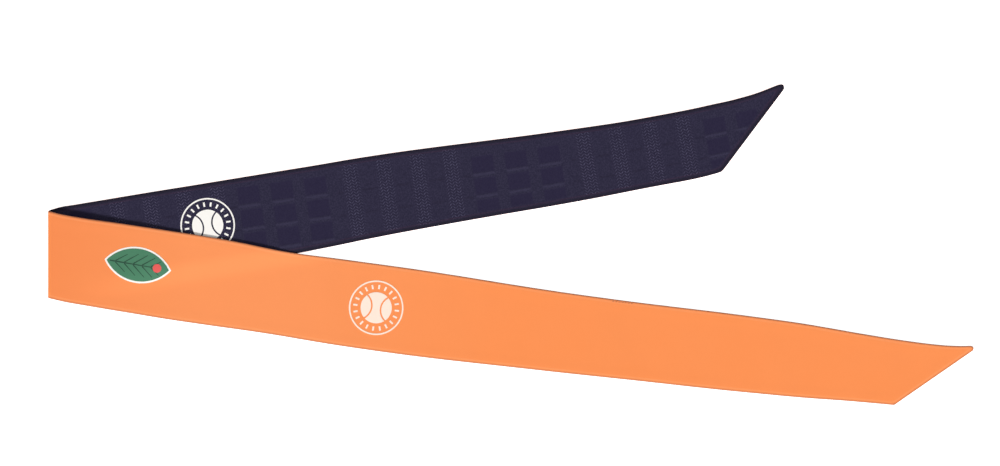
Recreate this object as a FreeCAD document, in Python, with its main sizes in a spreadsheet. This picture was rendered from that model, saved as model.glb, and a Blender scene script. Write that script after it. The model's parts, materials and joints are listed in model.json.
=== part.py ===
import FreeCAD, Part
import math
import os
import Sketcher

from FreeCAD import Placement, Rotation, Vector

# A two-ply tie headband lying folded on a table. It is one long sewn strip: an outer cloth and an
# inner cloth joined along their edges and turned right side out. The strip is cut here into rigid
# lengths that meet at flex lines. The far leg lies on the table with its inner cloth up, and the
# near leg is folded back over it with its outer cloth up.
#
# Every length has a frame of its own: x along the strip, y towards the strip's long edge, and
# z = 0 in the plane where its two cloths meet. Until the end, world x is counted from the fold.

DIMENSIONS = {
    # cloth and sewing
    "outer_ply": 0.35,          # one layer of the outer cloth
    "inner_ply": 0.40,          # one layer of the inner cloth
    "seam_allowance": 6.5,      # the turned-in edge, where each cloth is double
    "edge_round": 0.25,
    "thread_radius": 0.08,
    "flex_gap": 1.8,            # space between two lengths at a flex line
    "overrun": 1.0,             # how far the hollow runs past an open end
    # the fold
    "fold_radius": 2.5,         # outer radius of the U-turn
    "fold_width": 58.6,
    "fold_clearance": 0.3,
    # far leg, from the fold outwards
    "far_side_length": 200.0,
    "far_side_heading": 9.82,
    "far_side_start_width": 58.7,
    "far_side_end_width": 55.9,
    "far_strap_length": 145.0,
    "far_strap_heading": 9.17,
    "far_strap_start_width": 55.9,
    "far_strap_end_width": 50.1,
    "far_tail_length": 132.3,
    "far_tail_heading": 11.33,
    "far_tail_start_width": 50.1,
    "far_tail_end_width": 47.4,
    # near leg, from the fold outwards
    "front_length": 185.0,
    "front_heading": -9.46,
    "front_start_width": 58.7,
    "front_end_width": 57.6,
    "near_side_length": 145.0,
    "near_side_heading": -7.89,
    "near_side_start_width": 57.6,
    "near_side_end_width": 54.1,
    "near_strap_length": 145.0,
    "near_strap_heading": -6.77,
    "near_strap_start_width": 54.1,
    "near_strap_end_width": 51.0,
    "near_tail_length": 120.4,
    "near_tail_heading": -6.87,
    "near_tail_start_width": 51.0,
    "near_tail_end_width": 43.5,
    # lines across the strip, as angles from the fold line
    "fold_line": 0.0,
    "far_flex_line": 9.5,
    "far_tie_line": 10.25,
    "far_end_line": -35.9,
    "near_flex_line": -8.68,
    "near_strap_line": -7.33,
    "near_tie_line": -6.82,
    "near_end_line": -54.5,
    "near_flex_height": 2.7,    # of the near leg's cloths over the table, at its first flex line
    # printed transfers, placed from the start of their length
    "print_thickness": 0.12,
    "emblem_station": 60.6,
    "emblem_offset": 3.0,
    "emblem_length": 45.0,
    "emblem_width": 24.0,
    "emblem_keyline": 1.2,
    "vein_width": 0.7,
    "vein_length": 12.0,
    "vein_pitch": 6.0,
    "vein_angle": 38.0,
    "berry_radius": 2.9,
    "berry_station": 13.0,
    "outer_badge_station": 36.9,
    "inner_badge_station": 107.5,
    "badge_radius": 18.2,
    "badge_line": 1.0,
    "badge_disc_radius": 10.4,
    "badge_seam_radius": 9.6,
    "badge_seam_offset": 12.6,
    "badge_tick_start": 12.5,
    "badge_tick_length": 2.9,
    "badge_tick_width": 1.2,
    # the hand stitches that close the gap the strip was turned through
    "closing_station": 55.0,
    "closing_pitch": 2.1,
    "closing_stitch": 1.4,
    "closing_radius": 0.12,
    "closing_inset": 1.6,
}
BADGE_TICKS = 20
SIDE_VEINS = 5
CLOSING_STITCHES = 7

# each length of a leg: its name, and the lines that it starts and ends at
FAR_LEG = [
    ("far_side", "fold_line", "far_flex_line"),
    ("far_strap", "far_flex_line", "far_tie_line"),
    ("far_tail", "far_tie_line", "far_end_line"),
]
NEAR_LEG = [
    ("front", "fold_line", "near_flex_line"),
    ("near_side", "near_flex_line", "near_strap_line"),
    ("near_strap", "near_strap_line", "near_tie_line"),
    ("near_tail", "near_tie_line", "near_end_line"),
]
LINES = {name: (start, end) for name, start, end in FAR_LEG + NEAR_LEG}
TAILS = ("far_tail", "near_tail")
UPSIDE_DOWN = Placement(Vector(), Rotation(Vector(1, 0, 0), 180))

doc = FreeCAD.newDocument("tie_headband")
sheet = doc.addObject("Spreadsheet::Sheet", "Sheet")
for row, (alias, size) in enumerate(DIMENSIONS.items(), start=1):
    sheet.set(f"A{row}", alias)
    sheet.set(f"B{row}", str(size))
    sheet.setAlias(f"B{row}", alias)
doc.recompute()


def linked(expression):
    """An expression whose <cells> are named through the sheet, for another object."""
    return expression.replace("<", "Sheet.").replace(">", "")


def value(expression):
    """What an expression over the sheet's <cells> comes to."""
    return float(sheet.evalExpression(expression.replace("<", "").replace(">", "")))


def bind(thing, **expressions):
    """Binds properties of an object to expressions over the sheet."""
    for prop, expression in expressions.items():
        thing.setExpression(prop, linked(expression))
    return thing


# ------------------------------------------------------------------ where the lengths lie


def leg_frames(leg, heights):
    """A frame for each length of a leg, given the height of its cloths at each line."""
    frames = {}
    point = Vector(0, 0, heights[0])
    for (name, _, _), here, there in zip(leg, heights, heights[1:]):
        length = value(f"<{name}_length>")
        heading = Rotation(Vector(0, 0, 1), value(f"<{name}_heading>"))
        pitch = Rotation(Vector(0, 1, 0), math.degrees(math.asin((here - there) / length)))
        frames[name] = Placement(point, heading * pitch)
        point = frames[name].multVec(Vector(length, 0, 0))
    return frames


on_table_far = value("2 * <outer_ply>")
on_table_near = value("2 * <inner_ply>")
at_fold = value("2 * <fold_radius> - 2 * <outer_ply>")
over_far_leg = value("<near_flex_height>")
FRAMES = {
    **leg_frames(FAR_LEG, [on_table_far] * 4),
    **leg_frames(NEAR_LEG, [at_fold, over_far_leg] + [on_table_near] * 3),
}


def line_offset(name, at_end):
    """How far a length's own end stands back from the line it meets."""
    line = LINES[name][at_end]
    if line in ("far_end_line", "near_end_line"):
        return "0"
    if line == "fold_line":
        return "<fold_radius>" if name == "front" else "(<fold_radius> + <fold_clearance>)"
    return "(<flex_gap> / 2)"


def corner(name, at_end, side, inset="0", back="0"):
    """Expressions for the x and y of a corner of a length's outline.

    side is 1 at the long edge and -1 at the short edge. inset moves the corner in from that edge,
    and back moves it away from the line at that end.
    """
    line = LINES[name][at_end]
    width = f"<{name}_{'end' if at_end else 'start'}_width>"
    y = f"{side} * ({width} / 2 - {inset})"
    skew = f"(<{line}> - <{name}_heading>)"
    stand_off = f"({line_offset(name, at_end)} + {back}) / cos({skew})"
    if at_end:
        return f"<{name}_length> - {stand_off} - ({y}) * tan({skew})", y
    return f"{stand_off} - ({y}) * tan({skew})", y


# ------------------------------------------------------------------ sketches and features


def origin_plane(body, role):
    return next(feature for feature in body.Origin.OriginFeatures if feature.Role == role)


def polygon_sketch(body, label, corners):
    """A closed polygon on the body's XY plane, each corner bound to its expressions."""
    sketch = body.newObject("Sketcher::SketchObject", label)
    sketch.AttachmentSupport = [(origin_plane(body, "XY_Plane"), "")]
    sketch.MapMode = "FlatFace"
    points = [Vector(value(x), value(y), 0) for x, y in corners]
    for start, end in zip(points, points[1:] + points[:1]):
        sketch.addGeometry(Part.LineSegment(start, end), False)
    origin, first, last = (-1, 1), 1, 2
    count = len(points)
    for edge in range(count):
        sketch.addConstraint(
            Sketcher.Constraint("Coincident", edge, last, (edge + 1) % count, first)
        )
    for edge, (point, expressions) in enumerate(zip(points, corners)):
        for kind, number, expression in zip(("DistanceX", "DistanceY"), point, expressions):
            ends = [origin, (edge, first)] if number >= 0 else [(edge, first), origin]
            index = sketch.addConstraint(
                Sketcher.Constraint(kind, *ends[0], *ends[1], abs(number))
            )
            sign = "" if number >= 0 else "-1 * "
            sketch.setExpression(f"Constraints[{index}]", linked(f"{sign}({expression})"))
    return sketch


def outline(name, flip, side_inset="0", end_back=("0", "0")):
    """The four corners of a length, or of an area inside it. flip is -1 for a cloth turned over."""
    start, end = end_back
    ways = [(False, -1, start), (True, -1, end), (True, 1, end), (False, 1, start)]
    corners = []
    for at_end, side, back in ways:
        x, y = corner(name, at_end, side, side_inset, back)
        corners.append((x, f"{flip} * ({y})"))
    return corners


def cloth(name, kind, on_top):
    """One length of one cloth: double along its sewn edges, and single between them."""
    ply = f"<{kind}_ply>"
    flip = 1 if on_top else -1
    body = doc.addObject("PartDesign::Body", f"{kind}_cloth_{name}")

    pad = body.newObject("PartDesign::Pad", f"{body.Name}_doubled")
    pad.Profile = polygon_sketch(body, f"{body.Name}_outline", outline(name, flip))
    bind(pad, Length=f"2 * {ply}")
    doc.recompute()
    full = pad.Shape.Volume

    back = ["-<overrun>", "<seam_allowance>" if name in TAILS else "-<overrun>"]
    inside = outline(name, flip, "<seam_allowance>", back)
    pocket = body.newObject("PartDesign::Pocket", f"{body.Name}_single")
    pocket.Profile = polygon_sketch(body, f"{body.Name}_inside", inside)
    pocket.Reversed = True
    bind(pocket, Length=ply)
    doc.recompute()
    if pocket.Shape.Volume > 0.8 * full:
        raise RuntimeError(f"the hollow of {body.Name} was not cut")

    rolled = body.newObject("PartDesign::Fillet", f"{body.Name}_rolled_edges")
    rolled.Base = (pocket, sewn_edges(pocket.Shape, name, flip))
    bind(rolled, Radius="<edge_round>")
    body.Placement = FRAMES[name] if on_top else FRAMES[name] * UPSIDE_DOWN
    return body


def sewn_edges(shape, name, flip):
    """Names of the edges along a length's sewn sides, inside and outside, but not its open ends."""
    corners = [Vector(value(x), value(y), 0) for x, y in outline(name, flip)]
    sides = [(corners[0], corners[1]), (corners[3], corners[2])]
    if name in TAILS:
        sides.append((corners[1], corners[2]))
    found = []
    for number, edge in enumerate(shape.Edges, start=1):
        ends = [Vector(vertex.X, vertex.Y, 0) for vertex in edge.Vertexes]
        level = abs(edge.Vertexes[0].Z - edge.Vertexes[-1].Z) < 1e-6
        for start, end in sides:
            on_side = all(point.distanceToLine(start, end - start) < 1e-4 for point in ends)
            if level and on_side:
                found.append(f"Edge{number}")
                break
    return found


def group(label, pieces, placement):
    """Separate solids that share one node."""
    compound = doc.addObject("Part::Compound", label)
    compound.Links = pieces
    compound.Placement = placement
    return compound


def rod(label, start, end, radius):
    """A straight length of thread between two points, given as expressions for x, y and z."""
    cylinder = doc.addObject("Part::Cylinder", label)
    (x0, y0, z0), (x1, y1, _) = start, end
    bind(cylinder, Radius=radius, Height=f"hypot({x1} - ({x0}); {y1} - ({y0}))")
    foot, head = Vector(value(x0), value(y0), value(z0)), Vector(value(x1), value(y1), value(z0))
    cylinder.Placement = Placement(foot, Rotation(Vector(0, 0, 1), head - foot))
    return cylinder


def seam_thread(name):
    """The thread of the seam, in the groove between the two cloths along the sewn edges."""
    corners = [(x, y, "0") for x, y in outline(name, 1)]
    runs = [(corners[0], corners[1]), (corners[3], corners[2])]
    if name in TAILS:
        runs.append((corners[1], corners[2]))
    label = f"seam_thread_{name}"
    rods = [
        rod(f"{label}_{number}", start, end, "<thread_radius>")
        for number, (start, end) in enumerate(runs, start=1)
    ]
    return group(label, rods, FRAMES[name])


def fold_cloth(kind, outer_radius, ply):
    """The U-turn of one cloth at the fold: half of a thick ring."""
    halves = []
    for which, radius in (("outside", outer_radius), ("inside", f"{outer_radius} - 2 * {ply}")):
        half = doc.addObject("Part::Cylinder", f"{kind}_fold_{which}")
        bind(half, Radius=radius, Height="<fold_width>")
        half.Angle = 180
        halves.append(half)
    ring = doc.addObject("Part::Cut", f"{kind}_cloth_fold")
    ring.Base, ring.Tool = halves
    # the axis of the half ring is the fold line, and the ring bulges away from the legs
    turned = Rotation(Vector(0, 0, -1), Vector(-1, 0, 0), Vector(0, 1, 0), "ZYX")
    radius, half_width = value("<fold_radius>"), value("<fold_width> / 2")
    ring.Placement = Placement(Vector(radius, -half_width, radius), turned)
    return ring


# ------------------------------------------------------------------ printed transfers


def disc(label, radius, thickness="<print_thickness>"):
    return bind(doc.addObject("Part::Cylinder", label), Radius=radius, Height=thickness)


def cut(label, base, tools):
    for number, tool in enumerate(tools, start=1):
        result = doc.addObject("Part::Cut", label if number == len(tools) else f"{label}_{number}")
        result.Base, result.Tool = base, tool
        base = result
    return base


def ring(label, outer_radius, inner_radius):
    outside = disc(f"{label}_outside", outer_radius)
    return cut(label, outside, [disc(f"{label}_inside", inner_radius)])


def badge(kind, placement):
    """A round badge: a line round a ball with two curved seams, and short ticks between them."""
    line = ring(f"{kind}_badge_ring", "<badge_radius>", "<badge_radius> - <badge_line>")
    seams = []
    for side in (-1, 1):
        middle = "<badge_seam_radius> + <badge_line> / 2"
        seam = ring(f"{kind}_badge_seam_{side + 2}", middle, f"{middle} - <badge_line>")
        seam.Placement.Base = Vector(value(f"{side} * <badge_seam_offset>"), 0, 0)
        seams.append(seam)
    ball = cut(f"{kind}_badge_ball", disc(f"{kind}_badge_disc", "<badge_disc_radius>"), seams)
    ticks = []
    for number in range(BADGE_TICKS):
        tick = doc.addObject("Part::Box", f"{kind}_badge_tick_{number + 1}")
        bind(
            tick,
            Length="<badge_tick_length>",
            Width="<badge_tick_width>",
            Height="<print_thickness>",
        )
        turn = Rotation(Vector(0, 0, 1), 360 * number / BADGE_TICKS)
        foot = Vector(value("<badge_tick_start>"), value("-<badge_tick_width> / 2"), 0)
        tick.Placement = Placement(turn.multVec(foot), turn)
        ticks.append(tick)
    line.Placement = ball.Placement = placement
    return [line, ball, group(f"{kind}_badge_ticks", ticks, placement)]


def leaf(label, shrink, thickness="<print_thickness>"):
    """A pointed leaf: what two discs share. shrink draws its outline in."""
    half_long, half_wide = "(<emblem_length> / 2)", "(<emblem_width> / 2)"
    radius = f"({half_long} ^ 2 + {half_wide} ^ 2) / (2 * {half_wide})"
    discs = []
    for side in (-1, 1):
        part = disc(f"{label}_side_{side + 2}", f"{radius} - {shrink}", thickness)
        part.Placement.Base = Vector(0, value(f"{side} * ({radius} - {half_wide})"), 0)
        discs.append(part)
    both = doc.addObject("Part::Common", label)
    both.Base, both.Tool = discs
    return both


def vein(number, length, x, angle):
    bar = doc.addObject("Part::Box", f"emblem_vein_{number}")
    bind(bar, Length=length, Width="<vein_width>", Height="<print_thickness>")
    turn = Rotation(Vector(0, 0, 1), angle)
    foot = turn.multVec(Vector(0, value("-<vein_width> / 2"), 0))
    bar.Placement = Placement(foot + Vector(x, 0, 0), turn)
    return bar


def emblem(placement):
    """A leaf on a pale ground, with veins and a berry printed over it."""
    ground = leaf("emblem_ground", "0")
    green = leaf("emblem_leaf", "<emblem_keyline>")
    midrib_length = "<emblem_length> - 6 * <emblem_keyline>"
    bars = [vein(0, midrib_length, value(f"-({midrib_length}) / 2"), 0)]
    pitch, angle = value("<vein_pitch>"), value("<vein_angle>")
    for number in range(SIDE_VEINS):
        x = (number - SIDE_VEINS / 2) * pitch
        bars.append(vein(2 * number + 1, "<vein_length>", x, angle))
        bars.append(vein(2 * number + 2, "<vein_length>", x, -angle))
    spread = doc.addObject("Part::MultiFuse", "emblem_all_veins")
    spread.Shapes = bars
    trimmed = doc.addObject("Part::Common", "emblem_trimmed_veins")
    trimmed.Base, trimmed.Tool = spread, leaf("emblem_vein_area", "2 * <emblem_keyline>")
    berry_hole = disc("emblem_berry_hole", "<berry_radius> + <vein_width>")
    berry = disc("emblem_berry", "<berry_radius>")
    berry_hole.Placement.Base = Vector(value("<berry_station>"), 0, 0)
    veins = cut("emblem_veins", trimmed, [berry_hole])
    step = value("<print_thickness>")
    ground.Placement = placement
    green.Placement = placement * Placement(Vector(0, 0, step), Rotation())
    veins.Placement = placement * Placement(Vector(0, 0, 2 * step), Rotation())
    berry.Placement = placement * Placement(Vector(value("<berry_station>"), 0, 2 * step), Rotation())
    return [ground, green, veins, berry]


def on_face(name, station, offset, face):
    """A placement on top of a length, that far along it and towards its long edge."""
    spot = Vector(value(station), value(offset), value(face))
    return FRAMES[name] * Placement(spot, Rotation())


def closing_stitches():
    """A row of small hand stitches along the long edge of the near strap."""
    name = "near_strap"
    stitches = []
    for number in range(CLOSING_STITCHES):
        x = f"<closing_station> + {number - CLOSING_STITCHES / 2} * <closing_pitch>"
        edge = f"(<{name}_start_width> + (<{name}_end_width> - <{name}_start_width>)"
        y = f"{edge} * ({x}) / <{name}_length>) / 2 - <closing_inset>"
        z = "2 * <outer_ply> + <closing_radius>"
        start, end = (x, y, z), (f"{x} + <closing_stitch>", y, z)
        stitches.append(rod(f"closing_stitch_{number + 1}", start, end, "<closing_radius>"))
    return group("closing_stitches", stitches, FRAMES[name])


# ------------------------------------------------------------------ the whole band

nodes = []
for name in LINES:
    near = any(name == length for length, _, _ in NEAR_LEG)
    nodes += [cloth(name, "outer", near), cloth(name, "inner", not near), seam_thread(name)]
nodes += [
    fold_cloth("outer", "<fold_radius>", "<outer_ply>"),
    fold_cloth("inner", "(<fold_radius> - 2 * <outer_ply>)", "<inner_ply>"),
    closing_stitches(),
]
outer_face, inner_face = "2 * <outer_ply>", "2 * <inner_ply>"
nodes += emblem(on_face("front", "<emblem_station>", "<emblem_offset>", outer_face))
nodes += badge("outer", on_face("near_side", "<outer_badge_station>", "0", outer_face))
nodes += badge("inner", on_face("far_side", "<inner_badge_station>", "0", inner_face))
doc.recompute()

# The origin is the middle of the lying band's footprint, on the table.
box = FreeCAD.BoundBox()
for node in nodes:
    box.add(node.Shape.BoundBox)
to_origin = Placement(Vector(-box.Center.x, -box.Center.y, 0), Rotation())
for node in nodes:
    node.Placement = to_origin * node.Placement
doc.recompute()

for thing in doc.Objects:
    if "Invalid" in thing.State or "Error" in thing.State:
        raise RuntimeError(f"{thing.Label} did not compute: {thing.State}")
for node in nodes:
    if node.Shape.isNull() or not node.Shape.isValid() or not node.Shape.Solids:
        raise RuntimeError(f"{node.Label} has no valid shape")

os.makedirs("parts", exist_ok=True)
for node in nodes:
    node.Shape.exportStep(f"parts/{node.Label}.step")
print(f"{len(nodes)} nodes, origin {box.Center.x:.3f} mm from the fold, {box.Center.y:.3f} mm up")
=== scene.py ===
import json
import math

import bmesh
import bpy
import numpy as np
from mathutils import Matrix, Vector
from mathutils.geometry import delaunay_2d_cdt


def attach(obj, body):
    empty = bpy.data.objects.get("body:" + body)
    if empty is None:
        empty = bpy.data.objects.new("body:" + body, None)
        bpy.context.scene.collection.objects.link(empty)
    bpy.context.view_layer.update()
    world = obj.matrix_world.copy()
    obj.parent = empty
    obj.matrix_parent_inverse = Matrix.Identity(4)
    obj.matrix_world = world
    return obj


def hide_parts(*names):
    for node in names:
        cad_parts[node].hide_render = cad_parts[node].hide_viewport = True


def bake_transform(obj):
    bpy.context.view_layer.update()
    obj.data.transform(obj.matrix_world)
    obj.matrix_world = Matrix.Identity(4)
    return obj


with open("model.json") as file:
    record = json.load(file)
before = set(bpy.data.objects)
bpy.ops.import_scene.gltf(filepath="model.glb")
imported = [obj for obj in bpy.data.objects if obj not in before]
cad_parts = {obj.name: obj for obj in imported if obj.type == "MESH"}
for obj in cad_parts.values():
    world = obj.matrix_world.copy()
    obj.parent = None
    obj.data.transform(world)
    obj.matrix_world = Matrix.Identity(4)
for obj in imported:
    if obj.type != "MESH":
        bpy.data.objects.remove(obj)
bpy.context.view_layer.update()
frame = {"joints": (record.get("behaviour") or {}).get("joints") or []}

# The band is one strip of two cloths. A place on it is given by q, its distance in millimetres
# along the strip from the middle of the fold (positive on the near leg, negative on the far leg),
# and y, its distance across from the middle line, positive towards the long edge.

MM = 0.001
JOINTS = {joint["name"]: joint for joint in frame["joints"]}
TURN_CENTRE = np.array(JOINTS["fold"]["pos_m"]) / MM

# cloth thickness and sewing, in millimetres
OUTER_PLY = 0.35
INNER_PLY = 0.40
SEAM_ALLOWANCE = 6.5
THREAD_RADIUS = 0.1
THREAD_INSET = 0.22         # of the seam line from the edge
THREAD_DIP = 0.16           # by which each stitch stands out of the groove
STITCH = 2.5
PRINT_THICKNESS = 0.12
PRINT_SINK = 0.03           # of a print into what it is pressed on
FOLD_RADIUS = 1.8           # of the plane where the two cloths meet, round the U-turn
QUARTER_FOLD = FOLD_RADIUS * math.pi / 2
SQUARING_LENGTH = 34.0      # over which the rows turn from the fold line to square across
SKEW_LENGTH = 105.0         # over which the rows turn from square to the slanted end
BLEND_HALF = 10.0           # half the length of cloth that bends at a flex line
FOLD_PIECE_REACH = 6.0      # of the piece round the fold, past the U-turn
ROLL = 2.4                  # radius of the rolled edge, in thicknesses of its cloth
PRESSED_RIDGE = 0.15        # by how many thicknesses the pressed seam allowance stands out
LEAST_GAP = 0.02            # between a cloth's two faces, everywhere but on its rim
LYING_HEIGHT = 0.8          # of the plane between the cloths, where the near leg lies on the floor
ON_FAR_LEG = 2.45           # and where it lies on the far leg

# how each leg ends: its length past its last flex line, and the slanted end line
ENDS = {
    "near": {"length": 122.1, "heading": -6.87, "tangent": -5.6, "line": -55.3},
    "far": {"length": 133.4, "heading": 11.33, "tangent": 13.5, "line": -36.9},
}
FLEXES = {
    "near": ["near_flex", "near_strap_flex", "near_tie_flex"],
    "far": ["far_flex", "far_tie_flex"],
}
# (distance along the leg, width of the band there); -3 is the fold line
WIDTHS = {
    "near": [(-3, 58.2), (0, 57.1), (3, 56.9), (12, 57.0), (20, 57.2), (32, 57.6), (46, 58.0),
             (60, 58.2), (75, 58.5), (115, 58.0), (155, 55.9), (190, 57.1), (240, 57.5),
             (330, 53.8), (385, 52.1), (465, 50.9), (505, 49.1), (545, 45.2), (570, 43.4),
             (605, 43.0), (630, 44.0)],
    "far": [(-3, 58.2), (0, 58.4), (6, 58.9), (20, 58.7), (46, 58.2), (75, 57.8), (100, 57.2),
            (184, 55.1), (239, 53.0), (306, 49.8), (361, 47.6), (391, 46.2), (436, 45.6),
            (454, 44.6), (470, 45.4), (500, 45.2)],
}
# (distance along the leg, how far the band wanders off its smooth middle line there)
WANDERS = {
    "near": [(-3, -0.3), (0, -0.8), (3, -1.0), (6, -1.15), (12, -1.25), (20, -1.15), (32, -0.85),
             (46, -0.55), (60, -0.3), (75, -0.1), (125, 0.4), (155, 0.0), (190, 0.1), (235, 0.3),
             (355, 0.05), (410, 0.05), (460, 0.1), (505, 0.35), (545, 0.5), (570, 0.45),
             (590, 0.3), (600, 0.35), (612, 1.1), (625, 3.0)],
    "far": [(-3, -0.3), (0, -0.15), (6, 0.12), (20, 0.1), (46, 0.0), (107, -0.25), (157, -0.1),
            (184, 0.1), (211, 0.7), (305, 0.85), (333, 0.35), (361, -0.2), (407, -0.65),
            (440, -0.7), (452, -0.2), (468, -0.5), (482, 0.2), (495, 2.2), (503, 3.0)],
}
# radii of the turned corners at the slanted ends: the pointed one and the blunt one
TIP_RADIUS = {"near": 1.9, "far": 2.4}
HEEL_RADIUS = {"near": 3.0, "far": 7.0}
EDGE_EASE = 1.2             # over which the side's edge and the slanted edge run together
CORNER_SIDE = 6.0           # length of edge that gives the direction of a corner's side
CORNER_REACH = 1.3          # how far past a sharp corner the rounding still reaches, as a factor


def smooth(t):
    t = np.clip(t, 0, 1)
    return t * t * (3 - 2 * t)


def vectors(*parts):
    """Points or directions from arrays of their x, y and, if they have it, z."""
    return np.stack(np.broadcast_arrays(*parts), axis=-1)


def unit(vector):
    return vector / np.linalg.norm(vector, axis=-1, keepdims=True)


def hermite(t, start, leaving, end, arriving):
    """A cubic from start to end, with those directions at its ends."""
    return ((2 * t**3 - 3 * t**2 + 1) * start + (t**3 - 2 * t**2 + t) * leaving
            + (3 * t**2 - 2 * t**3) * end + (t**3 - t**2) * arriving)


def through(table, x):
    """A smooth curve through the (place, value) points of a table, read at x."""
    at, value = (np.array(column, float) for column in zip(*table))
    slope = np.gradient(value, at)
    slope[[0, -1]] = 0
    x = np.clip(x, at[0], at[-1])
    i = np.clip(np.searchsorted(at, x) - 1, 0, len(at) - 2)
    width = at[i + 1] - at[i]
    return hermite((x - at[i]) / width, value[i], slope[i] * width, value[i + 1],
                   slope[i + 1] * width)


# ------------------------------------------------------------------ the strip's middle line


class Leg:
    """The middle line of one leg, from the end of the fold to its slanted end."""

    def __init__(self, side):
        rise = FOLD_RADIUS if side == "near" else -FOLD_RADIUS
        self.side = side
        points = [TURN_CENTRE + [0, 0, rise]]
        headings = [None]
        for name in FLEXES[side]:
            joint = JOINTS[name]
            axis = np.array(joint["axis"]) * (1 if joint["axis"][1] > 0 else -1)
            points.append(np.array(joint["pos_m"]) / MM)
            headings.append(math.atan2(-axis[0], axis[1]))
        end = ENDS[side]
        heading = math.radians(end["heading"])
        reach = end["length"] * np.array([math.cos(heading), math.sin(heading), 0])
        points.append(points[-1] + reach)
        headings.append(math.radians(end["tangent"]))
        chord = points[1] - points[0]
        headings[0] = 2 * math.atan2(chord[1], chord[0]) - headings[1]
        self.line, self.at = self.curve(points, headings)
        self.length = self.at[-1]
        self.end_line = math.radians(end["line"])
        self.end_direction = np.array([-math.sin(self.end_line), math.cos(self.end_line)])
        self.end_point = points[-1]
        self.stations = [float(self.at[np.linalg.norm(self.line - p, axis=1).argmin()])
                         for p in points]

    def curve(self, points, headings):
        """A smooth curve through points with those headings, and the distance along it."""
        slopes = [0.0]
        for before, here, after in zip(points, points[1:], points[2:]):
            falls = [(b[2] - a[2]) / np.linalg.norm(b - a)
                     for a, b in ((before, here), (here, after))]
            slopes.append(0.0 if 0 in [round(fall, 6) for fall in falls] else sum(falls) / 2)
        slopes.append(0.0)
        spans = []
        for i in range(len(points) - 1):
            size = np.linalg.norm(points[i + 1] - points[i])
            ends = [np.array([math.cos(headings[k]), math.sin(headings[k]), slopes[k]]) * size
                    for k in (i, i + 1)]
            t = np.linspace(0, 1, 800, endpoint=i == len(points) - 2)[:, None]
            spans.append(hermite(t, points[i], ends[0], points[i + 1], ends[1]))
        line = np.concatenate(spans)
        steps = np.linalg.norm(np.diff(line, axis=0), axis=1)
        return line, np.concatenate([[0], np.cumsum(steps)])

    def place(self, s):
        """Middle point, heading, slope, and direction angle of the row across, at distances s."""
        behind, middle, ahead = (
            vectors(*[np.interp(s + shift, self.at, column) for column in self.line.T])
            for shift in (-0.5, 0, 0.5)
        )
        step = ahead - behind
        heading = np.arctan2(step[..., 1], step[..., 0])
        slope = step[..., 2] / np.maximum(np.hypot(step[..., 0], step[..., 1]), 1e-9)
        row = heading * smooth(s / SQUARING_LENGTH)
        skewed = smooth((s - (self.length - SKEW_LENGTH)) / SKEW_LENGTH)
        row = row + (self.end_line - row) * skewed
        return middle, heading, slope, row

    def edges(self, s, lead):
        """Distances across from the middle line to the short and to the long edge."""
        reach = lead * through(WIDTHS[self.side], s) / 2 * smooth(s / SQUARING_LENGTH)
        low, high = (
            through(WANDERS[self.side], run) + sign * through(WIDTHS[self.side], run) / 2
            for sign, run in ((-1, s - reach), (1, s + reach))
        )
        return low, high

    def corner(self, long_edge):
        """A corner of the slanted end: its point and the unit directions of its two sides."""
        spots = []
        for s in (self.length, self.length - CORNER_SIDE):
            middle, heading, _, row = self.place(np.array([s]))
            lead = np.tan(heading - row)
            edge = self.edges(np.array([s]), lead)[1 if long_edge else 0]
            across = vectors(-np.sin(row), np.cos(row))
            spots.append(middle[0, :2] + across[0] * edge[0] * np.sqrt(1 + lead[0] ** 2))
        back = spots[1] - spots[0]
        down = self.end_direction * (-1 if long_edge else 1)
        return spots[0], unit(back), down


LEGS = {"near": Leg("near"), "far": Leg("far")}
CORNERS = [(LEGS[side].corner(long_edge), radius[side])
           for side in LEGS for long_edge, radius in ((True, TIP_RADIUS), (False, HEEL_RADIUS))]
END_Q = {"near": QUARTER_FOLD + LEGS["near"].length, "far": -QUARTER_FOLD - LEGS["far"].length}


def strip_frame(q):
    """For distances q along the strip: middle point, direction across, outer normal, distances
    across to the short and the long edge, and how far the row leads the square line for each
    millimetre across."""
    q = np.asarray(q, float)
    shape = q.shape
    middle, across, normal = (np.zeros(shape + (3,)) for _ in range(3))
    low, high, lead = np.zeros(shape), np.zeros(shape), np.zeros(shape)
    turn = np.abs(q) <= QUARTER_FOLD
    angle = q[turn] / FOLD_RADIUS
    out = vectors(-np.cos(angle), 0.0, np.sin(angle))
    middle[turn] = TURN_CENTRE + FOLD_RADIUS * out
    across[turn] = [0, 1, 0]
    normal[turn] = out
    for side, sign in (("far", -1), ("near", 1)):
        leg = LEGS[side]
        here = turn & (q * sign >= 0)
        low[here], high[here] = leg.edges(q[here] * sign - QUARTER_FOLD, 0.0)
        _, heading, _, _ = leg.place(np.zeros(1))
        lead[here] = np.tan(heading) * q[here] * sign / QUARTER_FOLD
        on = q * sign > QUARTER_FOLD
        s = q[on] * sign - QUARTER_FOLD
        point, heading, slope, row = leg.place(s)
        middle[on] = point
        across[on] = vectors(-np.sin(row), np.cos(row), 0.0)
        up = vectors(-slope * np.cos(heading), -slope * np.sin(heading), 1.0)
        normal[on] = sign * unit(up)
        lead[on] = np.tan(heading - row)
        low[on], high[on] = leg.edges(s, lead[on])
    return middle, across, normal, low, high, lead


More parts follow.
